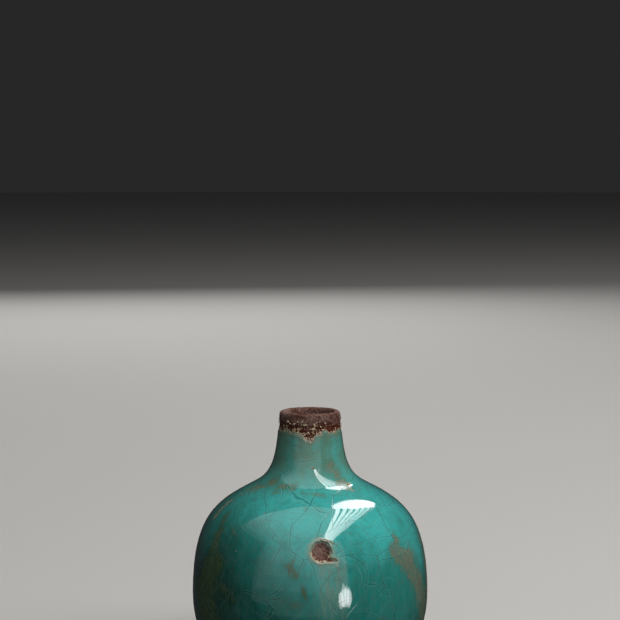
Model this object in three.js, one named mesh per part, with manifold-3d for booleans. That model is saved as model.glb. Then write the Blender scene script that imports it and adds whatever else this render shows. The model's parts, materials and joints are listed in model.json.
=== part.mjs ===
// Ceramic bud vase: a round stoneware vessel with a narrow neck, coated in a crackle glaze.
// Millimetres, +Z up. The origin is the centre of the foot, on the surface that the vase stands on.
import * as THREE from 'three';
import { mergeVertices } from 'three/addons/utils/BufferGeometryUtils.js';
import Module from 'manifold-3d';

const wasm = await Module();
wasm.setup();

// Driving dimensions: the outside
const height = 118; // foot to the top of the lip
const lipRadius = 14.2;
const glazeTopRadius = 14.5; // upper edge of the outer coat, under the bare lip
const glazeTopHeight = 111;
const neckRadius = 17.6; // where the neck turns out into the shoulder
const neckHeight = 93.5;
const neckLean = 0.4; // radians from upright
const shoulderRadius = 32.7; // middle of the shoulder
const shoulderHeight = 80.9;
const shoulderLean = 1.066;
const bellyRadius = 54.4; // the widest place
const bellyHeight = 33.3;
const glazeFootRadius = 41.4; // lower edge of the outer coat, above the bare foot
const glazeFootHeight = 5.4;
const glazeFootLean = -0.82;

// Driving dimensions: wall, coats and foot
const wall = 4.6; // clay with both coats
const lipRound = 1.8; // radius of the rounded top of the lip
const glazeThickness = 0.8;
const linerThickness = 0.5;
const linerTopHeight = 106;
const floorHeight = 7.4; // inside
const floorRadius = 27; // the level part of the floor
const ringTopRadius = 38.4; // the ring that the vase stands on
const ringTopHeight = 2.6;
const ringOuter = 37.2;
const ringInner = 31.5;
const ringChamfer = 0.7;
const recessDepth = 2.2; // underside inside the ring

// The place at the front where the glaze popped off and left a shallow pit in the clay
const pit = { across: 8.6, high: 9, deep: 1.9, side: 5, height: 62 };

const around = 48; // facets round the vase

// One stretch of the outside: a smooth curve between two stations, leaving and arriving at their lean.
function stretch(from, to, leave, arrive, steps) {
  const handle = (station, reach) => new THREE.Vector2(
    station.radius + reach * Math.sin(station.lean),
    station.height - reach * Math.cos(station.lean),
  );
  const curve = new THREE.CubicBezierCurve(
    new THREE.Vector2(from.radius, from.height),
    handle(from, leave),
    handle(to, -arrive),
    new THREE.Vector2(to.radius, to.height),
  );
  return curve.getPoints(steps);
}

// The glazed outside, from under the lip to above the foot. Lean is measured from straight down.
function glazedOutline() {
  const top = { radius: glazeTopRadius, height: glazeTopHeight, lean: 0.04 };
  const neck = { radius: neckRadius, height: neckHeight, lean: neckLean };
  const shoulder = { radius: shoulderRadius, height: shoulderHeight, lean: shoulderLean };
  const belly = { radius: bellyRadius, height: bellyHeight, lean: 0 };
  const foot = { radius: glazeFootRadius, height: glazeFootHeight, lean: glazeFootLean };
  return [
    ...stretch(top, neck, 4, 4.5, 5),
    ...stretch(neck, shoulder, 7.6, 10.4, 6).slice(1),
    ...stretch(shoulder, belly, 15.7, 31.4, 8).slice(1),
    ...stretch(belly, foot, 20, 6, 6).slice(1),
  ];
}

// An outline moved in, square to itself, by depthAt(point).
function inset(outline, depthAt) {
  return outline.map((point, index) => {
    const before = outline[Math.max(index - 1, 0)];
    const after = outline[Math.min(index + 1, outline.length - 1)];
    const along = after.clone().sub(before).normalize();
    const depth = depthAt(point);
    return new THREE.Vector2(point.x + along.y * depth, point.y - along.x * depth);
  });
}

// The outer coat thins out to nothing at its upper and lower edges.
function glazeDepth(point) {
  const below = THREE.MathUtils.smoothstep(glazeTopHeight - point.y, 0, 5);
  const above = THREE.MathUtils.smoothstep(point.y - glazeFootHeight, 0, 2);
  return glazeThickness * below * above;
}

// Hollow inside of the vase, from the inner coat's edge down the wall and across the floor to the axis.
function hollowOutline(outside, depth, floor) {
  const side = inset(outside, () => depth)
    .filter((point, index) => index % 2 === 0 && point.y < linerTopHeight && point.y > floor + 4);
  const last = side[side.length - 1];
  const before = side[side.length - 2];
  const fall = (last.y - floor) / (before.y - last.y);
  const corner = new THREE.Vector2(last.x + (last.x - before.x) * fall, floor);
  const bend = new THREE.QuadraticBezierCurve(last, corner, new THREE.Vector2(floorRadius, floor));
  return [...side, ...bend.getPoints(4).slice(1), new THREE.Vector2(0, floor)];
}

// Rounded top of the lip, from its outside edge over to its inside edge.
function lipOutline(mouthRadius) {
  const middle = (lipRadius + mouthRadius) / 2;
  const halfWall = (lipRadius - mouthRadius) / 2;
  const points = [];
  for (let step = 0; step <= 6; step += 1) {
    const angle = (step / 6) * Math.PI;
    points.push(new THREE.Vector2(
      middle + halfWall * Math.cos(angle),
      height - lipRound + lipRound * Math.sin(angle),
    ));
  }
  return points;
}

// Underside and foot ring, from the axis out to where the ring meets the round wall.
function footOutline() {
  return [
    [0, recessDepth],
    [ringInner - ringChamfer, recessDepth],
    [ringInner, ringChamfer],
    [ringInner + ringChamfer, 0],
    [ringOuter - ringChamfer, 0],
    [ringOuter, ringChamfer],
    [ringTopRadius, ringTopHeight],
  ].map(([radius, level]) => new THREE.Vector2(radius, level));
}

// An outline turned round the axis into a solid.
function turned(outline) {
  const geometry = new THREE.LatheGeometry(outline, around);
  geometry.rotateX(Math.PI / 2);
  return solidFrom(geometry);
}

function solidFrom(geometry) {
  geometry.deleteAttribute('normal');
  geometry.deleteAttribute('uv');
  const merged = mergeVertices(geometry);
  return new wasm.Manifold(new wasm.Mesh({
    numProp: 3,
    vertProperties: merged.attributes.position.array,
    triVerts: new Uint32Array(merged.index.array),
  }));
}

function geometryFrom(solid) {
  const mesh = solid.getMesh();
  const geometry = new THREE.BufferGeometry();
  geometry.setAttribute('position', new THREE.BufferAttribute(mesh.vertProperties, mesh.numProp));
  geometry.setIndex(new THREE.BufferAttribute(mesh.triVerts, 1));
  geometry.computeVertexNormals();
  return geometry;
}

// The shape of the missing flake: a flattened ball lying in the front of the wall.
function flakeSolid(outside) {
  const next = outside.findIndex((point) => point.y < pit.height);
  const [above, below] = [outside[next - 1], outside[next]];
  const share = (above.y - pit.height) / (above.y - below.y);
  const reach = above.x + (below.x - above.x) * share;
  const lean = Math.atan2(below.x - above.x, above.y - below.y);
  const front = -Math.sqrt(reach ** 2 - pit.side ** 2);
  const flake = new THREE.SphereGeometry(1, 20, 12);
  flake.scale(pit.across / 2, pit.deep, pit.high / 2);
  flake.rotateX(-lean);
  flake.rotateZ(Math.asin(pit.side / reach));
  flake.translate(pit.side, front, pit.height);
  return solidFrom(flake);
}

function clayBody(underGlaze, underLiner, mouth, flake) {
  const outline = [
    ...footOutline(),
    ...underGlaze.toReversed(),
    ...lipOutline(mouth.x),
    mouth,
    ...underLiner,
  ];
  return turned(outline).subtract(flake);
}

function outerGlaze(outside, underGlaze, flake) {
  const outline = [...underGlaze, ...outside.toReversed().slice(1)];
  return turned(outline).subtract(flake);
}

function linerGlaze(underLiner, mouth, inside) {
  return turned([...underLiner.toReversed(), mouth, ...inside]);
}

function part(name, solid, color, roughness) {
  const material = new THREE.MeshStandardMaterial({ color, roughness, metalness: 0 });
  const mesh = new THREE.Mesh(geometryFrom(solid), material);
  mesh.name = name;
  return mesh;
}

const outside = glazedOutline();
const underGlaze = inset(outside, glazeDepth);
const inside = hollowOutline(outside, wall, floorHeight);
const underLiner = hollowOutline(outside, wall - linerThickness, floorHeight - linerThickness);
const mouth = new THREE.Vector2(underLiner[0].x - linerThickness, linerTopHeight); // edge of the inner coat
const flake = flakeSolid(outside);

const vase = new THREE.Group();
vase.add(part('clay_body', clayBody(underGlaze, underLiner, mouth, flake), 0x5a4036, 0.85));
vase.add(part('outer_glaze', outerGlaze(outside, underGlaze, flake), 0x2c8a84, 0.15));
vase.add(part('liner_glaze', linerGlaze(underLiner, mouth, inside), 0x3c6f68, 0.2));

export default vase;
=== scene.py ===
import bmesh
import bpy
import json
import math
import numpy
import random
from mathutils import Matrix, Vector, noise

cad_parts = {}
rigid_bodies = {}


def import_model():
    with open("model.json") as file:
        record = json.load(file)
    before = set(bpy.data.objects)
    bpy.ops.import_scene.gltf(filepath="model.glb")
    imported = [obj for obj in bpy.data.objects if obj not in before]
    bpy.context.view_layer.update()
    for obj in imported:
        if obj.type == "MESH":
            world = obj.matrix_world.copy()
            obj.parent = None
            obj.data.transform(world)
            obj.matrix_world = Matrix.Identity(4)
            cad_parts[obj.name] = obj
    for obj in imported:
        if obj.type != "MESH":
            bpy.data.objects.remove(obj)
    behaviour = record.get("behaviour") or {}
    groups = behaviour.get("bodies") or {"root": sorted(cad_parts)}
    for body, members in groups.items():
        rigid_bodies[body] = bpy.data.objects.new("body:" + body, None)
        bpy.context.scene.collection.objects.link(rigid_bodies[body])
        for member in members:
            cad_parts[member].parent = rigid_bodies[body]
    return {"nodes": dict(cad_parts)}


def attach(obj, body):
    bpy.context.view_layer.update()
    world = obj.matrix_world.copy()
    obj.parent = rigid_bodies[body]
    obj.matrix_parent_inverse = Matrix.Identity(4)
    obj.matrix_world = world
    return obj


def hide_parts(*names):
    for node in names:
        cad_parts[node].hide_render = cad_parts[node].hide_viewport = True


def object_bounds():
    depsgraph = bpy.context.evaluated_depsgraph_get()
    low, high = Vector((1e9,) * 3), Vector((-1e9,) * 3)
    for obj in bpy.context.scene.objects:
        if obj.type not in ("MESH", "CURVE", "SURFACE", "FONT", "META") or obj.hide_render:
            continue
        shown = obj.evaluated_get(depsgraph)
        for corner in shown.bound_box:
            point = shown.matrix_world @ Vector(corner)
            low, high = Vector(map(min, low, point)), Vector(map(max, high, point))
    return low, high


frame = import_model()
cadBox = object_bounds()
mm = 0.001
vaseTop = cadBox[1].z
print("frame loaded, the vase is", round(vaseTop / mm, 1), "mm tall")


# camera, lights and floor

camera = {"back": 990, "aboveLip": 131, "tiltDown": 4.9, "lens": 126, "sensor": 36}
room = {
    "floorSize": 14.0, "floorColour": (0.56, 0.545, 0.52), "floorRoughness": 0.6,
    "roomColour": (0.2, 0.2, 0.21), "roomStrength": 0.1,
}
windowLamps = {  # long lamps overhead on the right that draw together towards the camera
    "count": 6, "above": 1.52, "width": 0.07, "glow": 5.4, "dimRight": 0.6, "stagger": 2 * mm,
    "endCount": 21, "endWidth": 0.046, "endShort": 0.12, "endLong": 0.44, "endGlow": 5.0,
    # sideways and back, as shares of how high the lamps hang
    "frontLeft": (0.31, -1.35), "frontRight": (0.46, -1.35),
    "backLeft": (0.24, 0.36), "backRight": (0.73, 1.15),
}
softWall = {  # dim panels one behind the other, so their left and lower edges fade
    "count": 4, "glow": 0.105, "ceilingGlow": 0.135, "back": -1.57, "top": 1.9, "right": 1.2,
    "ceilingRight": 0.9, "ceilingEnd": 0.5, "left": (-1.3, -2.3), "bottom": (0.5, -0.35),
}
tableGlows = [  # light thrown back off a table: width, height, sideways and up
    (0.16, 0.26, 0.90, -0.17),
    (0.15, 0.36, 1.0, -0.10),
    (0.14, 0.30, 1.11, -0.10),
    (0.13, 0.36, 1.21, -0.15),
    (0.42, 0.30, 1.06, -0.14),
]
tableGlow = {"glow": 1.9, "back": -1.57}
fills = {  # light the right side and the back, and show in no glaze: size, glow and place
    "sideFill": (1.0, 5.6, (1.3, -0.7, 1.3)),
    "backFill": (1.2, 2.4, (-0.3, 1.9, 0.9)),
}


def deselectAll():
    if bpy.context.object and bpy.context.object.mode != "OBJECT":
        bpy.ops.object.mode_set(mode="OBJECT")
    bpy.ops.object.select_all(action="DESELECT")


def makeActive(piece):
    deselectAll()
    piece.select_set(True)
    bpy.context.view_layer.objects.active = piece


def addCamera():
    place = (0, -camera["back"] * mm, vaseTop + camera["aboveLip"] * mm)
    bpy.ops.object.camera_add(location=place, rotation=(math.radians(90 - camera["tiltDown"]), 0, 0))
    made = bpy.context.object
    made.data.sensor_width = camera["sensor"]
    made.data.lens = camera["lens"]
    bpy.context.scene.camera = made


def addPanel(lampName, size, place, glow, aim, shape="RECTANGLE"):
    bpy.ops.object.light_add(type="AREA", location=place)
    lamp = bpy.context.object
    lamp.name = lampName
    lamp.data.shape = shape
    lamp.data.size, lamp.data.size_y = size
    lamp.data.energy = math.pi * size[0] * size[1] * glow  # the glow is how bright the panel looks
    lamp.rotation_euler = (Vector(aim) - lamp.location).to_track_quat("-Z", "Y").to_euler()
    return lamp


def addWindowLamp(lampName, share, width, atEnd, glow):  # one at the back end, or the long one in front
    above = windowLamps["above"]
    front = Vector(windowLamps["frontLeft"]).lerp(Vector(windowLamps["frontRight"]), share) * above
    back = Vector(windowLamps["backLeft"]).lerp(Vector(windowLamps["backRight"]), share) * above
    along = (back - front).normalized()
    shortEnd, longEnd = windowLamps["endShort"], windowLamps["endLong"]
    endLength = shortEnd + (longEnd - shortEnd) * min(share * 2, 1)  # at full length from the middle on
    length = endLength if atEnd else (back - front).length - endLength
    middle = back - along * length / 2 if atEnd else front + along * length / 2
    place = Vector((middle.x, middle.y, above + vaseTop * 0.6 + share * windowLamps["stagger"]))
    lamp = addPanel(lampName, (width, length), place, glow, place - Vector((0, 0, 1)))
    lamp.rotation_euler = (0, 0, -math.atan2(along.x, along.y))


def addSoftWall():
    for number in range(softWall["count"]):
        share = number / (softWall["count"] - 1)
        left = softWall["left"][0] + (softWall["left"][1] - softWall["left"][0]) * share
        bottom = softWall["bottom"][0] + (softWall["bottom"][1] - softWall["bottom"][0]) * share
        top, back = softWall["top"] + number * mm, softWall["back"] - number * mm
        right, glow = softWall["right"], softWall["glow"]
        place = ((left + right) / 2, back, (top + bottom) / 2)
        size = (right - left, top - bottom)
        addPanel("wall" + str(number), size, place, glow, (place[0], 0, place[2]))
        right, end, glow = softWall["ceilingRight"], softWall["ceilingEnd"], softWall["ceilingGlow"]
        place = ((left + right) / 2, (back + end) / 2, top)
        size = (right - left, end - back)
        ceiling = addPanel("ceiling" + str(number), size, place, glow, (*place[:2], 0))
        ceiling.rotation_euler = (0, 0, 0)


def addLights():
    addSoftWall()
    for width, tall, sideways, up in tableGlows:
        place = (sideways, tableGlow["back"], up)
        addPanel("tableGlow", (width, tall), place, tableGlow["glow"], (0, 0, 0.05), "ELLIPSE")
    for lampName, (size, glow, place) in fills.items():
        fill = addPanel(lampName, (size, size), place, glow, (0, 0, 0.05))
        fill.visible_glossy = False
    for number in range(windowLamps["count"]):
        share = (number + 0.5) / windowLamps["count"]
        glow = windowLamps["glow"] * (1 - windowLamps["dimRight"] * share)
        addWindowLamp("windowLamp" + str(number + 1), share, windowLamps["width"], False, glow)
    for number in range(windowLamps["endCount"]):
        share = number / (windowLamps["endCount"] - 1)
        width, glow = windowLamps["endWidth"], windowLamps["endGlow"]
        addWindowLamp("windowEnd" + str(number + 1), share, width, True, glow)


def addRoom():
    world = bpy.data.worlds.new("studioRoom")
    world.use_nodes = True
    background = world.node_tree.nodes["Background"]
    background.inputs["Color"].default_value = (*room["roomColour"], 1)
    background.inputs["Strength"].default_value = room["roomStrength"]
    bpy.context.scene.world = world
    bpy.context.scene.view_settings.view_transform = "Standard"
    deselectAll()
    bpy.ops.mesh.primitive_circle_add(vertices=96, radius=room["floorSize"] / 2, fill_type="NGON")
    floor = bpy.context.object
    floor.name = "paleFloor"
    paint = bpy.data.materials.new("paleFloorPaint")
    paint.use_nodes = True
    shader = paint.node_tree.nodes["Principled BSDF"]
    shader.inputs["Base Color"].default_value = (*room["floorColour"], 1)
    shader.inputs["Roughness"].default_value = room["floorRoughness"]
    floor.data.materials.append(paint)
    floor.visible_glossy = False  # the vase shows and gets no light from the floor, as over a dark table
    floor.visible_diffuse = False


# shapes from the frame

def smoothStep(low, high, value):
    share = min(max((value - low) / (high - low), 0.0), 1.0)
    return share * share * (3 - 2 * share)


def wobble(point, size, seed=0.0):  # smooth noise from -1 to 1, with bumps that many mm across
    return noise.noise(point / (size * mm) + Vector((seed, seed * 1.7, -seed)))


def azimuth(point):  # degrees round the vase: 0 is the front, 90 the right side
    return math.degrees(math.atan2(point.x, -point.y))


def cutOutline(nodeName):  # a CAD node's outline on its right side, as points in order
    shape = bmesh.new()
    shape.from_mesh(frame["nodes"][nodeName].data)
    bmesh.ops.remove_doubles(shape, verts=shape.verts[:], dist=0.005 * mm)
    everything = shape.verts[:] + shape.edges[:] + shape.faces[:]
    cut = bmesh.ops.bisect_plane(
        shape, geom=everything, dist=0.002 * mm, plane_co=(0, 0, 0), plane_no=(0, 1, 0))
    beside = {}
    for edge in (item for item in cut["geom_cut"] if isinstance(item, bmesh.types.BMEdge)):
        first, second = edge.verts
        if min(first.co.x, second.co.x) > -0.01 * mm:
            beside.setdefault(first, []).append(second)
            beside.setdefault(second, []).append(first)
    ends = [vert for vert in beside if len(beside[vert]) == 1]
    start = min(ends or beside, key=lambda vert: vert.co.z)
    path = [start, max(beside[start], key=lambda vert: vert.co.x)]
    while True:
        onward = [vert for vert in beside[path[-1]] if vert not in path[-2:]]
        if not onward or onward[0] == start:
            break
        path.append(onward[0])
    points = [Vector((vert.co.x, 0, vert.co.z)) for vert in path]
    shape.free()
    return points


def refine(points, passes):  # rounds an outline off as a cubic spline and keeps its ends
    for _ in range(passes):
        finer = [points[0]]
        for before, here, after in zip(points, points[1:], points[2:]):
            finer += [(before + here) / 2, (before + 6 * here + after) / 8]
        points = finer + [(points[-2] + points[-1]) / 2, points[-1]]
    return points


def spaceOut(points, spacingAt):  # keeps points that far apart, in mm
    kept, walked = [points[0]], 0.0
    for before, here in zip(points, points[1:]):
        walked += (here - before).length
        if walked >= spacingAt(here) * mm:
            kept.append(here)
            walked = 0.0
    if kept[-1] != points[-1]:
        kept.append(points[-1])
    return kept


def spinShell(pieceName, points, steps, closed=False):
    deselectAll()
    mesh = bpy.data.meshes.new(pieceName)
    edges = [(number, number + 1) for number in range(len(points) - 1)]
    if closed:
        edges.append((len(points) - 1, 0))
    mesh.from_pydata(points, edges, [])
    piece = bpy.data.objects.new(pieceName, mesh)
    bpy.context.scene.collection.objects.link(piece)
    makeActive(piece)
    bpy.ops.object.mode_set(mode="EDIT")
    bpy.ops.mesh.select_all(action="SELECT")
    bpy.ops.mesh.spin(steps=steps, angle=2 * math.pi, center=(0, 0, 0), axis=(0, 0, 1))
    bpy.ops.mesh.select_all(action="SELECT")
    bpy.ops.mesh.remove_doubles(threshold=0.004 * mm)
    bpy.ops.mesh.normals_make_consistent(inside=False)
    bpy.ops.object.mode_set(mode="OBJECT")
    bpy.ops.object.shade_smooth()
    return piece


def subdivideNear(piece, centre, reach, cuts):  # a finer mesh on the outside wall round one place
    makeActive(piece)
    bpy.ops.object.mode_set(mode="EDIT")
    bpy.ops.mesh.select_mode(type="FACE")
    bpy.ops.mesh.select_all(action="DESELECT")
    bpy.ops.object.mode_set(mode="OBJECT")
    for face in piece.data.polygons:
        outward = face.normal.x * face.center.x + face.normal.y * face.center.y > 0
        face.select = outward and (face.center - centre).length < reach * mm
    bpy.ops.object.mode_set(mode="EDIT")
    bpy.ops.mesh.subdivide(number_cuts=cuts, ngon=False, quadcorner="INNERVERT")
    bpy.ops.object.mode_set(mode="OBJECT")


def roundAgain(piece, centre, reach, radiusAt):  # puts a subdivided place back on the round wall
    near = [vert for vert in piece.data.vertices if (vert.co - centre).length < (reach + 1.5) * mm]
    for vert in near:
        radius = math.hypot(vert.co.x, vert.co.y)
        wanted = radiusAt(vert.co.z)
        if abs(wanted - radius) < 0.1 * mm:
            vert.co.x *= wanted / radius
            vert.co.y *= wanted / radius
    piece.data.update()


def sculpt(piece, liftAt, levelAbove=1.0):  # moves each point along its normal by that many mm
    piece.data.update()
    normals = [vert.normal.copy() for vert in piece.data.vertices]
    for vert, normal in zip(piece.data.vertices, normals):
        if vert.co.z > levelAbove:  # straight in or out near a rim
            outward = Vector((vert.co.x, vert.co.y, 0)).normalized()
            normal = outward if normal.dot(outward) > -0.3 else -outward
        vert.co += normal * liftAt(vert.co, normal) * mm
    piece.data.update()


def facesOut(point, normal):
    return point.x * normal.x + point.y * normal.y > 0


def addMask(piece, maskName, valueAt):
    layer = piece.data.attributes.new(maskName, "FLOAT", "POINT")
    layer.data.foreach_set("value", [valueAt(vert.co) for vert in piece.data.vertices])


# where the coat ends

glazeEdge = {
    "topLine": 109.7, "topDip": 3.6, "topDipAt": -3, "topDipWidth": 12,
    "footLine": 6.5, "coatAtTop": 0.3, "coat": 0.8,
}
pit = {
    "side": 5.0, "height": 62.0, "radius": 4.3, "depth": 0.95, "squash": 0.98,
    "tailStart": 0.5, "tailLength": 5.6, "tailBelow": 3.2, "tailFall": 0.9,
    "tailWidth": 1.0, "tailTaper": 0.65,
}
farAway = 12.0  # mm, the distance given to points nowhere near an edge
wave = {
    "broad": 0.12, "broadSize": 34, "fine": 0.05, "fineSize": 11,
    "ring": 0.02, "ringPitch": 6.2, "sunk": 0.05,
}

glazeLoop = cutOutline("outer_glaze")
topOfLoop = max(range(len(glazeLoop)), key=lambda number: glazeLoop[number].z)
glazeOutside = refine(glazeLoop[:topOfLoop + 1], 5)
glazeInside = glazeLoop[topOfLoop + 1:]
wallHeights = numpy.array([point.z for point in glazeOutside])
wallRadii = numpy.array([point.x for point in glazeOutside])


def wallRadius(height):
    return float(numpy.interp(height, wallHeights, wallRadii))


pitRadius = wallRadius(pit["height"] * mm)
pitCentre = Vector((pit["side"] * mm, 0, pit["height"] * mm))
pitCentre.y = -math.sqrt(pitRadius ** 2 - pitCentre.x ** 2)
pitRight = Vector((-pitCentre.y, pitCentre.x, 0)).normalized()
pitLean = (wallRadius((pit["height"] - 2) * mm) - wallRadius((pit["height"] + 2) * mm)) / (4 * mm)
pitUp = (Vector((0, 0, 1)) - Vector((pitCentre.x, pitCentre.y, 0)).normalized() * pitLean).normalized()


def fromTopLine(point):  # mm down from the coat's ragged upper edge
    if point.z < 98 * mm:
        return farAway
    aside = (azimuth(point) - glazeEdge["topDipAt"]) / glazeEdge["topDipWidth"]
    dip = glazeEdge["topDip"] * math.exp(-aside ** 2)
    level = Vector((point.x, point.y, 0))
    line = glazeEdge["topLine"] - dip + 1.0 * wobble(level, 14, 3) + 0.6 * wobble(level, 5, 8)
    return line - point.z / mm + 1.0 * wobble(point, 2.3, 5) + 0.5 * wobble(point, 0.9, 6)


def fromFootLine(point):  # mm up from the coat's lower edge
    if point.z > 18 * mm:
        return farAway
    level = Vector((point.x, point.y, 0))
    line = glazeEdge["footLine"] + 0.7 * wobble(level, 26, 2) + 0.35 * wobble(level, 7, 4)
    return point.z / mm - line + 0.25 * wobble(point, 1.8, 7)


def fromPit(point):  # mm outwards from the ragged edge of the pit and its short tail
    if (point - pitCentre).length > 16 * mm:
        return farAway
    across = (point - pitCentre).dot(pitRight) / mm
    up = (point - pitCentre).dot(pitUp) / mm
    ball = math.hypot(across, up * pit["squash"]) - pit["radius"]
    along = min(max((across - pit["tailStart"]) / pit["tailLength"], 0), 1)
    past = across - pit["tailStart"] - pit["tailLength"] * along
    off = up + pit["tailBelow"] + pit["tailFall"] * along
    tail = math.hypot(past, off) - (pit["tailWidth"] - pit["tailTaper"] * along)
    return min(ball, tail) + 0.5 * wobble(point, 1.9, 9) + 0.22 * wobble(point, 0.7, 10)


def wallWave(point):  # slow unevenness and throwing rings that clay and coat share
    turn = azimuth(point) / 360
    strength = 0.5 + 0.5 * wobble(point, 40, 1)
    rings = math.sin(2 * math.pi * (point.z / (wave["ringPitch"] * mm) + turn)) * strength
    broad = wave["broad"] * wobble(point, wave["broadSize"], 11)
    fine = wave["fine"] * wobble(point, wave["fineSize"], 12)
    return broad + fine + wave["ring"] * rings - wave["sunk"]


# the clay vessel

clay = {
    "steps": 320, "lipGrain": 0.07, "pitGrain": 0.13, "turningGroove": 0.05, "turningPitch": 1.7,
    "lipFrom": 103, "lipSpacing": 0.36, "footTo": 7.5, "ringInside": 29, "ringSpacing": 0.5,
    "underSpacing": 1.2, "hiddenSpacing": 3.0, "recessDepth": 2.6, "ringTo": 3.5,
    "coverFrom": 94, "bareFrom": 111, "insideTo": 112,
    "lipWave": 0.09, "lipSunk": 0.06, "pitEdgeSunk": 0.12,
}


def claySpacing(point):
    height = point.z / mm
    if height > clay["lipFrom"]:
        return clay["lipSpacing"]
    if height < clay["footTo"]:
        return clay["ringSpacing"] if point.x > clay["ringInside"] * mm else clay["underSpacing"]
    return clay["hiddenSpacing"]


def coverDepth(height):  # how far under the outside wall the clay lies, mm
    thin, full = glazeEdge["coatAtTop"], glazeEdge["coat"]
    return full - (full - thin) * smoothStep(96, 102, height) - thin * smoothStep(111.5, 115, height)


def clayLift(point, normal):
    height = point.z / mm
    radius = math.hypot(point.x, point.y)
    if height < clay["recessDepth"] and not facesOut(point, normal) and normal.z < -0.5:
        ringCut = math.sin(2 * math.pi * (radius / mm / clay["turningPitch"] + azimuth(point) / 360))
        groove = clay["turningGroove"] * ringCut * smoothStep(3, 6, radius / mm)
        return groove - 0.05 + 0.03 * wobble(point, 1.1)
    if not facesOut(point, normal) and height < clay["insideTo"]:
        return 0.0
    grain = clay["lipGrain"] * (wobble(point, 1.5, 20) + 0.6 * wobble(point, 0.6, 21))
    if height < clay["ringTo"]:
        return grain * 0.4 * smoothStep(0.2, 0.8, height)
    lift = wallWave(point) * smoothStep(clay["ringTo"], 9, height) + grain - 0.03
    if height > clay["coverFrom"] and facesOut(point, normal):
        covered = (wallRadius(point.z) - radius) / mm if height < clay["bareFrom"] else 0.0
        lift += covered - coverDepth(height)
    if height > clay["bareFrom"]:
        lift += clay["lipWave"] * wobble(point, 5, 23) - clay["lipSunk"]
    edge = fromPit(point)
    if edge < 3:
        rough = clay["pitGrain"] * (wobble(point, 1.4, 24) + 0.7 * wobble(point, 0.6, 25))
        lift += rough - clay["pitEdgeSunk"] - pit["depth"] * smoothStep(-0.3, 2.4, -edge)
    return lift


def makeClay():
    points = spaceOut(refine(cutOutline("clay_body"), 4), claySpacing)
    body = spinShell("clayBody", points, clay["steps"])
    subdivideNear(body, pitCentre, 9, 3)
    subdivideNear(body, pitCentre, 6.5, 2)
    addMask(body, "fromTop", fromTopLine)
    addMask(body, "fromPit", fromPit)
    sculpt(body, clayLift)
    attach(body, "root")
    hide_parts("clay_body")
    print("clay body:", len(body.data.polygons), "faces")
    return body


# the outer coat

coat = {
    "steps": 384, "pitBead": 0.16, "footBead": 0.3, "hiddenWall": 2.3,
    "edgeReach": 6, "topSink": 1.1, "footThin": 0.35, "footSink": 0.9, "pitThin": 0.85, "pitSink": 1.9,
    "lipFrom": 103, "lipSpacing": 0.34, "footTo": 10, "footSpacing": 0.5, "wallSpacing": 0.9,
}


def coatSpacing(point):
    height = point.z / mm
    if height > coat["lipFrom"]:
        return coat["lipSpacing"]
    return coat["footSpacing"] if height < coat["footTo"] else coat["wallSpacing"]


def coatLift(point, normal):
    if not facesOut(point, normal):  # the side against the clay goes well down into it
        return coat["hiddenWall"]
    lift = wallWave(point)
    top, foot, hole = fromTopLine(point), fromFootLine(point), fromPit(point)
    thin, reach = glazeEdge["coatAtTop"], coat["edgeReach"]
    if top < reach:
        lift += 0.05 - (thin + 0.05) * (1 - smoothStep(0, 1.8, top))
        lift -= coat["topSink"] * smoothStep(0, 0.9, -top)
    if foot < reach:
        lift += coat["footBead"] * math.exp(-((foot - 1.2) / 1.0) ** 2)
        lift -= coat["footThin"] * (1 - smoothStep(0, 0.8, foot))
        lift -= coat["footSink"] * smoothStep(0, 0.8, -foot)
    if hole < reach:
        lift += coat["pitBead"] * math.exp(-((hole - 1.0) / 0.8) ** 2)
        lift -= coat["pitThin"] * (1 - smoothStep(0, 0.75, hole))
        lift -= coat["pitSink"] * smoothStep(0, 1.0, -hole)
    return lift


def makeCoat():
    outside = spaceOut(glazeOutside, coatSpacing)
    points = outside + glazeInside[1::2]
    shell = spinShell("outerCoat", points, coat["steps"], closed=True)
    for reach, cuts in ((12, 1), (9, 1), (6.5, 1)):
        subdivideNear(shell, pitCentre, reach, cuts)
        roundAgain(shell, pitCentre, reach, wallRadius)
    addMask(shell, "fromTop", fromTopLine)
    addMask(shell, "fromFoot", fromFootLine)
    addMask(shell, "fromPit", fromPit)
    sculpt(shell, coatLift, levelAbove=108 * mm)
    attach(shell, "root")
    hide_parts("outer_glaze")
    print("outer coat:", len(shell.data.polygons), "faces")
    return shell


# the liner inside

liner = {"steps": 144, "spacing": 1.6}


def makeLiner():
    outline = refine(cutOutline("liner_glaze"), 3)
    inside = spinShell("linerCoat", spaceOut(outline, lambda point: liner["spacing"]), liner["steps"])
    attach(inside, "root")
    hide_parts("liner_glaze")
    print("liner:", len(inside.data.polygons), "faces")
    return inside


# drops of glaze on the lip and the shoulder, and the pale ridge over the pit

strayDrops = [  # degrees round, height, size in mm
    (48, 86, 0.9), (5, 94, 0.5), (2, 94, 0.3), (-40, 60, 0.3), (-30, 76, 0.3), (120, 70, 0.6),
]
ridge = {"count": 7, "fromTurn": 5, "toTurn": 14, "abovePit": 5.2, "fall": 3.0, "size": 0.42}
flecks = {"count": 120, "small": 0.17, "large": 0.6, "highest": 5.5, "seed": 7}


def addDrop(turn, height, outFrom, size, shape, tilt):
    angle = math.radians(turn)
    place = (outFrom * math.sin(angle), -outFrom * math.cos(angle), height)
    deselectAll()
    bpy.ops.mesh.primitive_ico_sphere_add(subdivisions=2, radius=size, location=place)
    drop = bpy.context.object
    drop.scale = shape
    drop.rotation_euler = (0, tilt, angle)
    bpy.ops.object.transform_apply(location=True, rotation=True, scale=True)
    return drop


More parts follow.
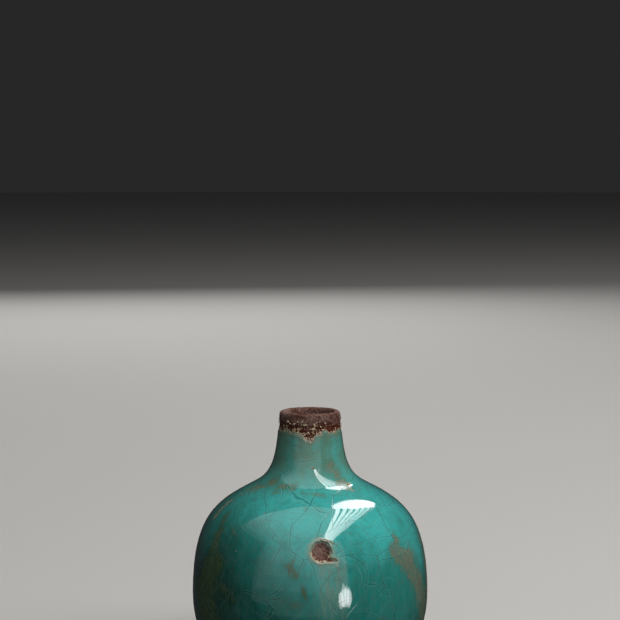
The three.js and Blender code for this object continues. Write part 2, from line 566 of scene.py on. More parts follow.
def makeFlecks():
    draw = random.Random(flecks["seed"])
    pieces = []
    for _ in range(flecks["count"]):
        turn = draw.choice((draw.gauss(-22, 24), draw.uniform(-180, 180)))
        above = flecks["highest"] * draw.random() ** 1.7
        height = (glazeEdge["topLine"] - 0.3 + above) * mm
        dip = math.exp(-((turn - glazeEdge["topDipAt"]) / glazeEdge["topDipWidth"]) ** 2)
        height -= glazeEdge["topDip"] * mm * dip * draw.random()
        radius = wallRadius(min(height, 0.111)) - (0.25 if height < 0.111 else 0.08) * mm
        radius -= max(height - 0.112, 0) * 0.06
        size = flecks["small"] + (flecks["large"] - flecks["small"]) * draw.random() ** 1.6
        shape = (draw.uniform(0.6, 1.8), 0.5, draw.uniform(0.6, 1.2))
        pieces.append(addDrop(turn, height, radius, size * mm, shape, draw.uniform(-0.9, 0.9)))
    for turn, height, size in strayDrops:
        pieces.append(addDrop(turn, height * mm, wallRadius(height * mm), size * mm, (1.1, 0.3, 0.85), 0.3))
    for number in range(ridge["count"]):
        share = number / (ridge["count"] - 1)
        turn = ridge["fromTurn"] + (ridge["toTurn"] - ridge["fromTurn"]) * share
        height = (pit["height"] + ridge["abovePit"] - ridge["fall"] * share ** 1.8) * mm
        size = ridge["size"] * (0.5 + math.sin(math.pi * (share * 0.8 + 0.15))) * mm
        pieces.append(addDrop(turn, height, wallRadius(height), size, (1.9, 0.35, 0.6), 0.9 * share))
    deselectAll()
    for drop in pieces:
        drop.select_set(True)
    bpy.context.view_layer.objects.active = pieces[0]
    bpy.ops.object.join()
    drops = bpy.context.object
    drops.name = "glazeFlecks"
    bpy.ops.object.shade_smooth()
    sculpt(drops, lambda point, normal: 0.05 * wobble(point, 0.35))
    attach(drops, "root")
    print("glaze flecks:", len(drops.data.polygons), "faces")
    return drops


addCamera()
addRoom()
addLights()
print("camera, room and lights ready")
clayBody = makeClay()
outerCoat = makeCoat()
linerCoat = makeLiner()
glazeFlecks = makeFlecks()


# building blocks of the finishes

def addNode(tree, kind, sockets=None, **settings):
    node = tree.nodes.new("ShaderNode" + kind)
    for setting, value in settings.items():
        setattr(node, setting, value)
    for socket, value in (sockets or {}).items():
        if isinstance(value, bpy.types.NodeSocket):
            tree.links.new(value, node.inputs[socket])
        else:
            node.inputs[socket].default_value = value
    return node


def maths(tree, operation, *values):
    return addNode(tree, "Math", dict(enumerate(values)), operation=operation).outputs[0]


def times(tree, first, second):
    return maths(tree, "MULTIPLY", first, second)


def plus(tree, first, second):
    return maths(tree, "ADD", first, second)


def minus(tree, first, second):
    return maths(tree, "SUBTRACT", first, second)


def timesPlus(tree, value, factor, added):
    return maths(tree, "MULTIPLY_ADD", value, factor, added)


def shareOf(tree, first, second):
    return maths(tree, "DIVIDE", first, second)


def larger(tree, first, second):
    return maths(tree, "MAXIMUM", first, second)


def smaller(tree, first, second):
    return maths(tree, "MINIMUM", first, second)


# eases from bottom to top as the value goes from low to high
def softStep(tree, value, low, high, bottom=0.0, top=1.0):
    sockets = {"Value": value, "From Min": low, "From Max": high, "To Min": bottom, "To Max": top}
    return addNode(tree, "MapRange", sockets, interpolation_type="SMOOTHSTEP").outputs["Result"]


def mixColour(tree, share, first, second):
    sockets = {0: share}
    for socket, value in ((6, first), (7, second)):
        sockets[socket] = value if isinstance(value, bpy.types.NodeSocket) else (*value, 1)
    return addNode(tree, "Mix", sockets, data_type="RGBA").outputs[2]


def vectorMaths(tree, operation, *values, **sockets):
    sockets.update(enumerate(values))
    return addNode(tree, "VectorMath", sockets, operation=operation).outputs[0]


def noiseValue(tree, place, size, detail=2.0, roughness=0.5):  # about 0.5, with features that many mm across
    sockets = {"Vector": place, "Scale": 1.0 / size, "Detail": detail, "Roughness": roughness}
    return addNode(tree, "TexNoise", sockets).outputs["Fac"]


def stretched(tree, place, shares, seed=0.0):  # the place squeezed along each axis, moved on by the seed
    scaled = vectorMaths(tree, "MULTIPLY", place, shares)
    return vectorMaths(tree, "ADD", scaled, (seed, seed * 0.7, -seed))


def placeInMm(tree):
    coordinates = addNode(tree, "TexCoord").outputs["Object"]
    return vectorMaths(tree, "SCALE", coordinates, Scale=1 / mm)


def readMask(tree, maskName):
    return addNode(tree, "Attribute", attribute_name=maskName).outputs["Fac"]


def newGroup(groupName, inputs, outputs):
    tree = bpy.data.node_groups.new(groupName, "ShaderNodeTree")
    for socketName, kind, value in inputs:
        socket = tree.interface.new_socket(name=socketName, in_out="INPUT", socket_type="NodeSocket" + kind)
        if value is not None:
            socket.default_value = value
    for socketName in outputs:
        tree.interface.new_socket(name=socketName, in_out="OUTPUT", socket_type="NodeSocketFloat")
    given = tree.nodes.new("NodeGroupInput")
    result = tree.nodes.new("NodeGroupOutput")
    return tree, given.outputs, result.inputs


def useGroup(tree, group, sockets):
    node = addNode(tree, "Group", node_tree=group)
    for socket, value in sockets.items():
        if isinstance(value, bpy.types.NodeSocket):
            tree.links.new(value, node.inputs[socket])
        else:
            node.inputs[socket].default_value = value
    return node.outputs


def newFinish(finishName):
    paint = bpy.data.materials.new(finishName)
    paint.use_nodes = True
    tree = paint.node_tree
    return paint, tree, tree.nodes["Principled BSDF"]


def linkBump(tree, shader, relief):  # the relief is in mm
    bump = addNode(tree, "Bump", {"Height": relief, "Distance": mm, "Strength": 1.0})
    tree.links.new(bump.outputs["Normal"], shader.inputs["Normal"])


def applyFinish(piece, paint):
    piece.data.materials.clear()
    piece.data.materials.append(paint)


# effects that several finishes share

crackLayout = {  # mm: how the cracks wander, and how far apart the rails, rungs and hairs of a ladder lie
    "broadSize": 34.0, "slightSize": 12.0, "slight": 4.0, "narrowest": 20.0,
    "railPitch": 13.0, "rungPitch": 9.5, "hairPitch": 4.4,
    "railPatch": 19.0, "rungPatch": 15.0, "hairPatch": 16.0,
}


def makeCrackleGroup():  # long cracks, with shorter ones laid like curved ladders between them
    tree, given, result = newGroup(
        "crackleNet",
        [("Place", "Vector", None), ("Cell", "Float", 34.0),
         ("Line", "Float", 0.2), ("Wander", "Float", 16.0)],
        ["Crack", "EdgeHighlight", "Hair", "Tint"])
    place = given["Place"]

    def drift(size, detail, amount):
        sockets = {"Vector": place, "Scale": 1 / size, "Detail": detail}
        sway = addNode(tree, "TexNoise", sockets).outputs["Color"]
        centred = vectorMaths(tree, "SUBTRACT", sway, (0.5, 0.5, 0.5))
        return vectorMaths(tree, "SCALE", centred, Scale=amount)

    def lineAt(gap, strength):
        return softStep(tree, gap, 0.0, given["Line"], strength, 0.0)

    def ladder(along, pitch, shift):  # how far to the nearest of a row of lines, mm, and which line
        counted = plus(tree, shareOf(tree, along, pitch), shift)
        gap = times(tree, maths(tree, "PINGPONG", counted, 0.5), pitch)
        return gap, maths(tree, "FLOOR", counted)

    broad = drift(crackLayout["broadSize"], 1.0, given["Wander"])
    slight = drift(crackLayout["slightSize"], 1.0, crackLayout["slight"])
    axes = addNode(tree, "SeparateXYZ", {0: place}).outputs
    sway = addNode(tree, "SeparateXYZ", {0: vectorMaths(tree, "ADD", broad, slight)}).outputs
    turn = maths(tree, "ARCTAN2", axes["X"], times(tree, axes["Y"], -1.0))
    squares = [maths(tree, "POWER", axes[axis], 2.0) for axis in ("X", "Y")]
    reach = larger(tree, maths(tree, "SQRT", plus(tree, *squares)), crackLayout["narrowest"])
    across = plus(tree, times(tree, turn, reach), sway["X"])
    upward = plus(tree, axes["Z"], sway["Z"])
    unrolled = addNode(tree, "CombineXYZ", {"X": across, "Y": upward}).outputs[0]
    scaled = vectorMaths(tree, "SCALE", unrolled, Scale=shareOf(tree, 1.0, given["Cell"]))
    flat = {"Vector": scaled, "Scale": 1.0}
    cells = addNode(tree, "TexVoronoi", flat, feature="F1", voronoi_dimensions="2D")
    edges = addNode(tree, "TexVoronoi", flat, feature="DISTANCE_TO_EDGE", voronoi_dimensions="2D")
    longGap = times(tree, edges.outputs["Distance"], given["Cell"])
    chance = addNode(tree, "SeparateColor", {"Color": cells.outputs["Color"]}).outputs
    lean = times(tree, chance["Red"], 3.2)
    leanSine, leanCosine = maths(tree, "SINE", lean), maths(tree, "COSINE", lean)
    first = plus(tree, times(tree, across, leanCosine), times(tree, upward, leanSine))
    second = minus(tree, times(tree, upward, leanCosine), times(tree, across, leanSine))
    railGap, rail = ladder(first, crackLayout["railPitch"], times(tree, chance["Green"], 5.0))
    railSeed = {"W": plus(tree, rail, chance["Blue"])}
    chancePerRail = addNode(tree, "TexWhiteNoise", railSeed, noise_dimensions="1D").outputs["Value"]
    rungGap, rung = ladder(second, crackLayout["rungPitch"], times(tree, chancePerRail, 7.0))
    hairGap, hair = ladder(first, crackLayout["hairPitch"], times(tree, chancePerRail, 3.0))

    railFade = softStep(tree, noiseValue(tree, place, crackLayout["railPatch"]), 0.28, 0.45)
    rungPatches = noiseValue(tree, stretched(tree, place, (1, 1, 1), 60), crackLayout["rungPatch"])
    rungFade = softStep(tree, rungPatches, 0.36, 0.52, 0.0, 0.95)
    rails = times(tree, lineAt(railGap, 0.9), railFade)
    rungs = times(tree, lineAt(rungGap, 0.8), rungFade)
    crack = larger(tree, lineAt(longGap, 1.0), larger(tree, rails, rungs))
    tree.links.new(crack, result["Crack"])
    # a pale band just beside each crack: a painted highlight on the crack's edge
    nearest = smaller(tree, longGap, smaller(tree, railGap, rungGap))
    beside = minus(tree, nearest, times(tree, given["Line"], 1.6))
    tree.links.new(lineAt(maths(tree, "ABSOLUTE", beside), 1.0), result["EdgeHighlight"])
    hairPatches = noiseValue(tree, stretched(tree, place, (1, 1, 1), 90), crackLayout["hairPatch"])
    hairFade = softStep(tree, hairPatches, 0.45, 0.62)
    tree.links.new(times(tree, lineAt(hairGap, 1.0), hairFade), result["Hair"])
    tree.links.new(chancePerRail, result["Tint"])
    return tree


def makeGrainGroup():  # grain of one size, sharpened about the middle
    tree, given, result = newGroup(
        "fineGrain",
        [("Place", "Vector", None), ("Size", "Float", 1.0), ("Sharpness", "Float", 2.0)],
        ["Grain"])
    sockets = {"Vector": given["Place"], "Scale": shareOf(tree, 1.0, given["Size"]), "Detail": 3.0}
    centred = minus(tree, addNode(tree, "TexNoise", sockets).outputs["Fac"], 0.5)
    sharpened = timesPlus(tree, centred, given["Sharpness"], 0.5)
    tree.links.new(addNode(tree, "Clamp", {"Value": sharpened}).outputs[0], result["Grain"])
    return tree


def makeSpeckGroup():  # scattered round specks of uneven size
    tree, given, result = newGroup(
        "scatteredSpecks",
        [("Place", "Vector", None), ("Spacing", "Float", 4.0),
         ("Size", "Float", 0.5), ("Share", "Float", 0.5)],
        ["Speck"])
    scaled = vectorMaths(tree, "SCALE", given["Place"], Scale=shareOf(tree, 1.0, given["Spacing"]))
    cells = addNode(tree, "TexVoronoi", {"Vector": scaled, "Scale": 1.0}, feature="F1")
    parts = addNode(tree, "SeparateColor", {"Color": cells.outputs["Color"]}).outputs
    radius = times(tree, given["Size"], timesPlus(tree, parts["Green"], 0.8, 0.4))
    gap = times(tree, cells.outputs["Distance"], given["Spacing"])
    inside = minus(tree, 1.0, shareOf(tree, gap, radius))
    chosen = maths(tree, "LESS_THAN", parts["Red"], given["Share"])
    tree.links.new(times(tree, softStep(tree, inside, 0.0, 0.35), chosen), result["Speck"])
    return tree


crackleNet = makeCrackleGroup()
fineGrain = makeGrainGroup()
scatteredSpecks = makeSpeckGroup()


# stains in the outer coat

stains = [  # where a run starts and ends (degrees round, height), its half width at each, tone, strength
    ((46, 60), (58, 52), (4, 8), 0.8, 0.8),
    ((58, 52), (70, 34), (8, 7), 0.7, 0.85),
    ((70, 34), (76, 14), (7, 10), 0.55, 0.85),
    ((50, 65), (51, 63), (2, 3), 0.8, 0.6),
    ((80, 60), (85, 25), (5, 7), 0.7, 0.6),
    ((-60, 72), (-54, 56), (4, 8), 0.3, 0.5),
    ((-54, 54), (-62, 38), (8, 13), 0.1, 0.85),
    ((-62, 36), (-55, 22), (12, 12), 0.05, 0.85),
    ((-46, 43), (-42, 40), (6, 6), 0.2, 0.6),
    ((-73, 77), (-73, 71), (3, 3), 1.0, 0.6),
    ((-10, 56), (-7, 52), (5, 4), 0.4, 0.4),
    ((-3, 46), (-2, 42), (3, 3), 0.3, 0.3),
    ((36, 94), (42, 87), (4, 5), 0.7, 0.75),
    ((-70, 83), (-45, 87), (5, 5), 0.5, 0.4),
    ((-35, 86), (-18, 86), (4, 3), 0.5, 0.4),
    ((-8, 84), (14, 83), (2, 2), 0.5, 0.2),
]
backStains = {"count": 11, "fromTurn": 95, "toTurn": 265, "lowest": 20, "highest": 92, "seed": 4}
# the pale run below the pit: partly thin glaze run down from it, partly a painted reflection of the bright
# wall
paleWashAndReflection = {"turn": 10.0, "top": 60.0, "bottom": 14.0, "halfWidth": 8.5}


def drawBackStains():
    draw = random.Random(backStains["seed"])
    drawn = []
    for _ in range(backStains["count"]):
        turn = draw.uniform(backStains["fromTurn"], backStains["toTurn"])
        height = draw.uniform(backStains["lowest"], backStains["highest"])
        end = (turn + draw.uniform(-8, 8), height - draw.uniform(2, 18))
        widths = (draw.uniform(3, 7), draw.uniform(5, 9))
        drawn.append(((turn, height), end, widths, draw.uniform(0.2, 0.75), draw.uniform(0.5, 0.8)))
    return drawn


def addStainMasks(piece):
    count = len(piece.data.vertices)
    places = numpy.empty(count * 3)
    piece.data.vertices.foreach_get("co", places)
    across, back, up = places.reshape(count, 3).T / mm
    turn = numpy.degrees(numpy.arctan2(across, -back))
    around = numpy.radians(numpy.hypot(across, back))
    level = numpy.full(count, -1.0)
    tone = numpy.full(count, 0.5)
    for start, end, widths, toneHere, strength in stains + drawBackStains():
        aside = ((turn - start[0] + 180) % 360 - 180) * around
        below = start[1] - up
        runAside, runBelow = (end[0] - start[0]) * around, start[1] - end[1]
        share = numpy.clip((aside * runAside + below * runBelow) / (runAside ** 2 + runBelow ** 2), 0, 1)
        gap = numpy.hypot(aside - runAside * share, below - runBelow * share)
        here = strength - gap / (widths[0] + (widths[1] - widths[0]) * share)
        tone = numpy.where(here > level, toneHere, tone)
        level = numpy.maximum(level, here)
    aside = (turn - paleWashAndReflection["turn"]) * around / paleWashAndReflection["halfWidth"]
    down = (paleWashAndReflection["top"] - up) / (paleWashAndReflection["top"] - paleWashAndReflection["bottom"])
    run = numpy.clip(1 - aside ** 2, 0, 1) * numpy.clip(down * 8, 0, 1) * numpy.clip(1.25 - down, 0, 1)
    for maskName, values in (("stainLevel", level), ("stainTone", tone), ("paleRunAndReflection", run)):
        layer = piece.data.attributes.new(maskName, "FLOAT", "POINT")
        layer.data.foreach_set("value", values)


# finishes

outerFinish = {
    "deep": (0.003, 0.085, 0.066), "middle": (0.012, 0.25, 0.215), "bright": (0.05, 0.50, 0.47),
    "sage": (0.12, 0.27, 0.19), "paleSage": (0.17, 0.33, 0.26),
    # the pale crack colour serves hairline cracks and the painted highlight beside the cracks
    "crack": (0.002, 0.055, 0.05), "paleCrackAndHighlight": (0.2, 0.48, 0.42),
    "olive": (0.012, 0.055, 0.022), "greyOlive": (0.07, 0.17, 0.115), "moss": (0.09, 0.14, 0.05),
    "brown": (0.19, 0.175, 0.11), "tan": (0.32, 0.25, 0.18),
    "cream": (0.62, 0.43, 0.27), "rust": (0.16, 0.06, 0.025), "halo": (0.33, 0.37, 0.27),
    "roughness": 0.05, "ior": 1.6, "coatIor": 1.5, "coatRoughness": 0.025,
}
glazeToneAndShade = {  # darker towards the bottom, brighter up the shoulder, with painted shade on the left side: heights and sizes in mm
    "darkBelow": 18.0, "brightAbove": 78.0, "darkest": 0.02, "brightest": 0.78,
    # painted shade: the glaze darkens from 5 to 50 mm left of the middle, the side in shade
    "paintedLeftShadeFrom": -5.0, "paintedLeftShadeTo": -50.0, "paintedLeftShade": -0.62, "cloudSize": 30.0, "mottleSize": 7.0,
    "neckFrom": 80.0, "neckTo": 97.0, "tint": 0.16,
}
glazeStrokes = {
    "streakSize": 1.6, "downSize": 1.1, "flatSize": 1.6, "pepperSize": 0.8, "streaksAndSheen": 0.16, "scuffs": 0.28,
}
glazeStains = {"strayPatchSize": 10.0, "softShare": 0.6, "fullShare": 0.78}
glazeCracks = {
    "cell": 34.0, "line": 0.25, "wander": 22.0,
    # the lip share sets how strongly the painted highlight shows along each crack's edge
    "shareLow": 0.62, "shareOnNeck": 0.2, "lip": 0.22, "hair": 0.28,
    "paleSpeck": 0.32, "palest": 0.7, "darkSpeck": 0.26, "darkest": 0.6,
}
glazeRelief = {"peelSize": 4.5, "peel": 0.006, "groove": -0.012, "crust": 0.003, "pinhole": -0.03}


def glazeStrokeMasks(tree, place, height):  # fine marks: flat ones on the shoulder and upright ones below
    def strokesAt(shares, seed, size, sharpness):
        sockets = {"Place": stretched(tree, place, shares, seed), "Size": size, "Sharpness": sharpness}
        return useGroup(tree, fineGrain, sockets)["Grain"]

    # pale upright streaks, partly a painted sheen on the glaze
    streaksAndSheen = strokesAt((1, 1, 0.16), 9, glazeStrokes["streakSize"], 2.4)
    downStrokes = strokesAt((1, 1, 0.3), 23, glazeStrokes["downSize"], 3.4)
    flatStrokes = strokesAt((0.6, 0.6, 3.2), 77, glazeStrokes["flatSize"], 3.4)
    onShoulder = softStep(tree, height, 66.0, 80.0)
    below = times(tree, downStrokes, minus(tree, 1.0, onShoulder))
    strokes = plus(tree, times(tree, flatStrokes, onShoulder), below)
    pepper = useGroup(
        tree, fineGrain, {"Place": place, "Size": glazeStrokes["pepperSize"], "Sharpness": 3.6})["Grain"]
    return streaksAndSheen, strokes, pepper


def colourByHeightAndShade(tree, place, height, mottle, cracks):
    cloud = noiseValue(tree, place, glazeToneAndShade["cloudSize"], 3.0)
    sideways = addNode(tree, "SeparateXYZ", {0: place}).outputs["X"]
    # painted shade: the left side of the glaze is darkened where the vase lies in shade
    paintedLeftShade = softStep(
        tree, sideways, glazeToneAndShade["paintedLeftShadeTo"], glazeToneAndShade["paintedLeftShadeFrom"], glazeToneAndShade["paintedLeftShade"], 0.0)
    rise = softStep(
        tree, height, glazeToneAndShade["darkBelow"], glazeToneAndShade["brightAbove"],
        glazeToneAndShade["darkest"], glazeToneAndShade["brightest"])
    unevenness = plus(tree, timesPlus(tree, cloud, 1.1, -0.55), timesPlus(tree, mottle, 0.5, -0.1))
    # the depth adds the height ramp, the painted shade on the left and random unevenness
    depth = plus(tree, plus(tree, rise, paintedLeftShade), unevenness)
    colour = mixColour(tree, softStep(tree, depth, -0.1, 0.5), outerFinish["deep"], outerFinish["middle"])
    colour = mixColour(tree, softStep(tree, depth, 0.42, 1.0), colour, outerFinish["bright"])
    return mixColour(tree, times(tree, cracks["Tint"], glazeToneAndShade["tint"]), colour, outerFinish["middle"])


# the thin neck, the pale run under the pit (partly a painted reflection), the pale streaks (partly a painted
# sheen) and the scuffs
def addPaleGlaze(tree, colour, height, mottle, streaksAndSheen, strokes):
    onNeck = softStep(tree, height, glazeToneAndShade["neckFrom"], glazeToneAndShade["neckTo"])
    thinNeck = times(tree, onNeck, softStep(tree, mottle, 0.28, 0.6, 0.35, 0.95))
    colour = mixColour(tree, thinNeck, colour, outerFinish["sage"])
    # pale run under the pit, partly a painted reflection
    run = times(tree, readMask(tree, "paleRunAndReflection"), softStep(tree, streaksAndSheen, 0.15, 0.8, 0.3, 0.95))
    colour = mixColour(tree, run, colour, outerFinish["paleSage"])
    # pale streaks mixed in all over, partly painted sheen lines
    colour = mixColour(tree, times(tree, streaksAndSheen, glazeStrokes["streaksAndSheen"]), colour, outerFinish["paleSage"])
    scuffed = softStep(tree, strokes, 0.5, 1.0, 0.0, glazeStrokes["scuffs"])
    return mixColour(tree, scuffed, colour, outerFinish["greyOlive"])


def addStains(tree, colour, place, mottle, strokes, pepper):
    fibre = plus(tree, times(tree, strokes, 0.7), times(tree, pepper, 0.3))
    strayPlace = stretched(tree, place, (1, 1, 1.6), 70)
    strayNoise = noiseValue(tree, strayPlace, glazeStains["strayPatchSize"], 4.0, 0.6)
    uneven = plus(tree, readMask(tree, "stainLevel"), timesPlus(tree, mottle, 1.9, -0.95))
    stray = softStep(tree, strayNoise, 0.48, 0.8, 0.0, 0.6)
    soft = larger(tree, softStep(tree, uneven, -0.6, 0.6), stray)
    tone = readMask(tree, "stainTone")
    tint = mixColour(tree, softStep(tree, tone, 0.1, 0.8), outerFinish["olive"], outerFinish["greyOlive"])
    colour = mixColour(tree, times(tree, soft, glazeStains["softShare"]), colour, tint)
    shown = plus(tree, minus(tree, fibre, 1.0), soft)
    stain = softStep(tree, shown, -0.06, 0.62, 0.0, glazeStains["fullShare"])
    warmTone = mixColour(tree, softStep(tree, tone, 0.15, 0.75), outerFinish["moss"], outerFinish["brown"])
    stainColour = mixColour(tree, softStep(tree, tone, 0.8, 1.05), warmTone, outerFinish["tan"])
    return mixColour(tree, stain, colour, stainColour), stain


def addCracks(tree, colour, place, height, cracks):
    share = softStep(tree, height, 82.0, 96.0, glazeCracks["shareLow"], glazeCracks["shareOnNeck"])
    # painted highlight along the crack edges, and pale hairline cracks
    for crackPart, amount in (("EdgeHighlight", glazeCracks["lip"]), ("Hair", glazeCracks["hair"])):
        colour = mixColour(tree, times(tree, cracks[crackPart], amount), colour, outerFinish["paleCrackAndHighlight"])
    colour = mixColour(tree, times(tree, cracks["Crack"], share), colour, outerFinish["crack"])
    paleSpeck = useGroup(tree, scatteredSpecks, {
        "Place": place, "Spacing": 9.0, "Size": glazeCracks["paleSpeck"], "Share": 0.3})["Speck"]
    darkPlace = stretched(tree, place, (1, 1, 1), 31)
    darkSpeck = useGroup(tree, scatteredSpecks, {
        "Place": darkPlace, "Spacing": 5.0, "Size": glazeCracks["darkSpeck"], "Share": 0.45})["Speck"]
    colour = mixColour(tree, times(tree, paleSpeck, glazeCracks["palest"]), colour, outerFinish["halo"])
    colour = mixColour(tree, times(tree, darkSpeck, glazeCracks["darkest"]), colour, outerFinish["crack"])
    return colour, darkSpeck


def addGlazeEdges(tree, colour, place, height, pepper):  # brown, then cream, then rust towards each edge
    top, foot, hole = (readMask(tree, maskName) for maskName in ("fromTop", "fromFoot", "fromPit"))
    fray = timesPlus(tree, pepper, 1.2, -0.6)
    topGap, footGap = plus(tree, top, fray), plus(tree, foot, fray)
    holeGap = plus(tree, hole, times(tree, fray, 0.7))
    colour = mixColour(tree, softStep(tree, topGap, 0.6, 4.0, 0.62, 0.0), colour, outerFinish["brown"])
    colour = mixColour(tree, softStep(tree, holeGap, 0.4, 3.0, 0.8, 0.0), colour, outerFinish["halo"])
    colour = mixColour(tree, softStep(tree, footGap, 0.5, 3.0, 0.8, 0.0), colour, outerFinish["brown"])
    lowerSide = softStep(tree, height, pit["height"] - 3.5, pit["height"] + 1.5, 0.0, 0.9)
    holeEdge = plus(tree, holeGap, lowerSide)  # the pit's pale edge shows along its lower side
    nearest = smaller(tree, topGap, smaller(tree, holeEdge, footGap))
    patchy = noiseValue(tree, stretched(tree, place, (1, 1, 1), 12), 2.6, 2.0)
    edgeGap = plus(tree, nearest, softStep(tree, patchy, 0.38, 0.66, -0.25, 0.75))
    colour = mixColour(tree, softStep(tree, edgeGap, 0.3, 0.85, 0.75, 0.0), colour, outerFinish["cream"])
    colour = mixColour(tree, softStep(tree, edgeGap, -0.25, 0.25, 1.0, 0.0), colour, outerFinish["rust"])
    return colour, edgeGap


def glazeBump(tree, place, cracks, stain, pepper, darkSpeck):
    peel = times(tree, noiseValue(tree, place, glazeRelief["peelSize"], 1.0), glazeRelief["peel"])
    groove = times(tree, cracks["Crack"], glazeRelief["groove"])
    crust = times(tree, times(tree, stain, pepper), glazeRelief["crust"])
    pinhole = times(tree, darkSpeck, glazeRelief["pinhole"])
    return plus(tree, plus(tree, peel, groove), plus(tree, crust, pinhole))


def makeOuterFinish():
    paint, tree, shader = newFinish("crackledTurquoiseGlaze")
    place = placeInMm(tree)
    height = addNode(tree, "SeparateXYZ", {0: place}).outputs["Z"]
    cracks = useGroup(tree, crackleNet, {
        "Place": place, "Cell": glazeCracks["cell"],
        "Line": glazeCracks["line"], "Wander": glazeCracks["wander"]})
    mottle = noiseValue(tree, stretched(tree, place, (1, 1, 0.55), 40), glazeToneAndShade["mottleSize"], 4.0, 0.6)
    streaksAndSheen, strokes, pepper = glazeStrokeMasks(tree, place, height)

    colour = colourByHeightAndShade(tree, place, height, mottle, cracks)
    colour = addPaleGlaze(tree, colour, height, mottle, streaksAndSheen, strokes)
    colour, stain = addStains(tree, colour, place, mottle, strokes, pepper)
    colour, darkSpeck = addCracks(tree, colour, place, height, cracks)
    colour, edgeGap = addGlazeEdges(tree, colour, place, height, pepper)
    tree.links.new(colour, shader.inputs["Base Color"])

    frosted = softStep(tree, edgeGap, 0.0, 1.2, 0.3, 0.0)
    rough = plus(tree, plus(tree, times(tree, stain, 0.35), frosted), outerFinish["roughness"])
    tree.links.new(rough, shader.inputs["Roughness"])
    glossy = minus(tree, 1.0, larger(tree, times(tree, stain, 0.9), frosted))
    tree.links.new(glossy, shader.inputs["Coat Weight"])
    relief = glazeBump(tree, place, cracks, stain, pepper, darkSpeck)
    linkBump(tree, shader, relief)
    shader.inputs["IOR"].default_value = outerFinish["ior"]
    shader.inputs["Coat IOR"].default_value = outerFinish["coatIor"]
    shader.inputs["Coat Roughness"].default_value = outerFinish["coatRoughness"]
    return paint


clayFinish = {
    "dark": (0.08, 0.03, 0.02), "body": (0.21, 0.12, 0.095), "dustAndSheen": (0.34, 0.245, 0.225),
    "scorched": (0.07, 0.013, 0.006), "cream": (0.62, 0.47, 0.32), "roughness": 0.84, "shine": 0.15,
    "cloudSize": 6.0, "grainSize": 0.9, "powderSize": 0.45, "pockSize": 0.34, "pockSpacing": 1.5,
    "threadSize": 1.5, "clumpSize": 2.4,
}
clayRelief = {"grain": 0.1, "powder": 0.05, "pock": 0.12, "crust": 0.14}


def addScorch(tree, colour, place, cloud):  # burnt clay beside the coat, with threads of cream glaze on it
    above = times(tree, readMask(tree, "fromTop"), -1.0)
    besideCoat = softStep(tree, above, -3.0, -1.5)
    scorch = softStep(tree, plus(tree, above, times(tree, cloud, 3.0)), 3.6, 6.8, 0.94, 0.0)
    scorch = times(tree, scorch, besideCoat)
    colour = mixColour(tree, scorch, colour, clayFinish["scorched"])
    wander = noiseValue(tree, place, clayFinish["threadSize"], 1.5)
    thread = softStep(tree, maths(tree, "ABSOLUTE", minus(tree, wander, 0.5)), 0.012, 0.04, 1.0, 0.0)
    clumps = noiseValue(tree, stretched(tree, place, (1, 1, 1), 52), clayFinish["clumpSize"], 2.0)
    nearTop = times(tree, softStep(tree, above, 0.5, 4.5, 1.0, 0.0), besideCoat)
    crust = times(tree, times(tree, thread, softStep(tree, clumps, 0.46, 0.56)), nearTop)
    return mixColour(tree, crust, colour, clayFinish["cream"]), scorch, crust


def addPitRim(tree, colour, place, grain):  # cream glaze left along the pit's lower side
    hole = readMask(tree, "fromPit")
    rim = softStep(tree, plus(tree, hole, times(tree, grain, 0.5)), -0.35, 0.25, 0.0, 0.8)
    height = addNode(tree, "SeparateXYZ", {0: place}).outputs["Z"]
    lowerSide = softStep(tree, height, pit["height"] - 3.0, pit["height"] - 1.0, 1.0, 0.0)
    nearHole = times(tree, softStep(tree, hole, 2.0, 4.0, 1.0, 0.0), lowerSide)
    return mixColour(tree, times(tree, rim, nearHole), colour, clayFinish["cream"])


def makeClayFinish():
    paint, tree, shader = newFinish("bareStonewareClay")
    place = placeInMm(tree)
    cloud = noiseValue(tree, place, clayFinish["cloudSize"], 4.0, 0.6)
    grain = useGroup(tree, fineGrain, {
        "Place": place, "Size": clayFinish["grainSize"], "Sharpness": 3.0})["Grain"]
    powderPlace = stretched(tree, place, (1, 1, 1), 15)
    powder = useGroup(tree, fineGrain, {
        "Place": powderPlace, "Size": clayFinish["powderSize"], "Sharpness": 3.5})["Grain"]
    pock = useGroup(tree, scatteredSpecks, {
        "Place": place, "Spacing": clayFinish["pockSpacing"], "Size": clayFinish["pockSize"],
        "Share": 0.4})["Speck"]

    blend = plus(tree, times(tree, cloud, 0.9), timesPlus(tree, grain, 0.5, -0.2))
    colour = mixColour(tree, softStep(tree, blend, 0.25, 0.75), clayFinish["dark"], clayFinish["body"])
    # mauve-grey dust on the clay, partly a painted sheen of the rough clay
    dustAndSheenShare = times(tree, softStep(tree, powder, 0.45, 0.9, 0.0, 0.6), softStep(tree, cloud, 0.35, 0.6))
    colour = mixColour(tree, dustAndSheenShare, colour, clayFinish["dustAndSheen"])
    colour = mixColour(tree, times(tree, pock, 0.75), colour, clayFinish["dark"])
    colour, scorch, crust = addScorch(tree, colour, place, cloud)
    colour = addPitRim(tree, colour, place, grain)
    tree.links.new(colour, shader.inputs["Base Color"])

    rough = minus(tree, clayFinish["roughness"], times(tree, scorch, 0.3))
    tree.links.new(minus(tree, rough, times(tree, crust, 0.3)), shader.inputs["Roughness"])
    relief = plus(tree, times(tree, grain, clayRelief["grain"]), times(tree, powder, clayRelief["powder"]))
    relief = minus(tree, relief, times(tree, pock, clayRelief["pock"]))
    relief = plus(tree, relief, times(tree, crust, clayRelief["crust"]))
    linkBump(tree, shader, relief)
    shader.inputs["Specular IOR Level"].default_value = clayFinish["shine"]
    return paint


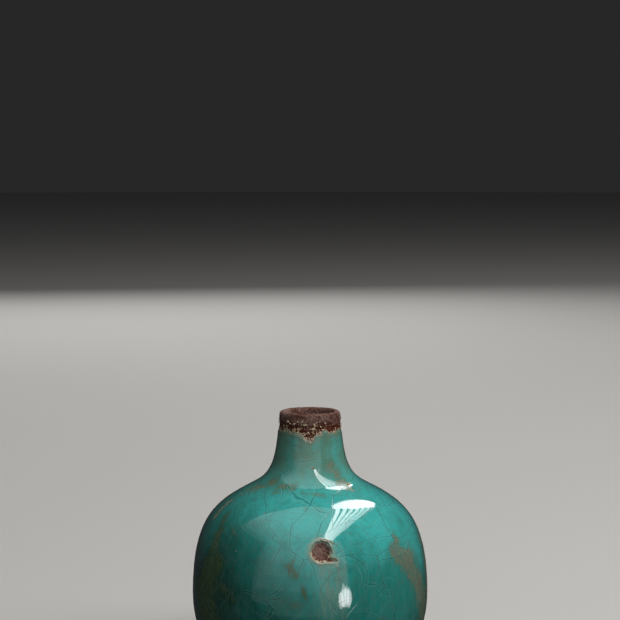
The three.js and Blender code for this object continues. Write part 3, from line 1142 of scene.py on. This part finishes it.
linerFinish = {
    "deep": (0.008, 0.07, 0.055), "pale": (0.03, 0.17, 0.135), "crack": (0.002, 0.03, 0.025),
    "roughness": 0.12, "coatWeight": 0.6,
}


def makeLinerFinish():
    paint, tree, shader = newFinish("innerGreenGlaze")
    place = placeInMm(tree)
    cloud = noiseValue(tree, place, 12.0, 3.0)
    cracks = useGroup(tree, crackleNet, {"Place": place, "Cell": 17.0, "Line": 0.3, "Wander": 8.0})
    colour = mixColour(tree, softStep(tree, cloud, 0.3, 0.7), linerFinish["deep"], linerFinish["pale"])
    colour = mixColour(tree, times(tree, cracks["Crack"], 0.6), colour, linerFinish["crack"])
    specks = useGroup(tree, scatteredSpecks, {
        "Place": place, "Spacing": 4.0, "Size": 0.4, "Share": 0.4})["Speck"]
    colour = mixColour(tree, times(tree, specks, 0.5), colour, clayFinish["body"])
    tree.links.new(colour, shader.inputs["Base Color"])
    rough = timesPlus(tree, cloud, 0.15, linerFinish["roughness"])
    tree.links.new(rough, shader.inputs["Roughness"])
    relief = timesPlus(tree, cracks["Crack"], -0.03, times(tree, cloud, 0.1))
    linkBump(tree, shader, relief)
    shader.inputs["Coat Weight"].default_value = linerFinish["coatWeight"]
    return paint


fleckFinish = {"cream": (0.70, 0.56, 0.40), "tan": (0.38, 0.23, 0.12), "roughness": 0.3}


def makeFleckFinish():
    paint, tree, shader = newFinish("creamGlazeDrops")
    place = placeInMm(tree)
    grain = useGroup(tree, fineGrain, {"Place": place, "Size": 1.1, "Sharpness": 4.0})["Grain"]
    colour = mixColour(tree, grain, fleckFinish["tan"], fleckFinish["cream"])
    tree.links.new(colour, shader.inputs["Base Color"])
    rough = timesPlus(tree, grain, 0.3, fleckFinish["roughness"])
    tree.links.new(rough, shader.inputs["Roughness"])
    linkBump(tree, shader, times(tree, grain, 0.04))
    return paint


addStainMasks(outerCoat)
applyFinish(clayBody, makeClayFinish())
applyFinish(outerCoat, makeOuterFinish())
applyFinish(linerCoat, makeLinerFinish())
applyFinish(glazeFlecks, makeFleckFinish())
print("finishes ready")
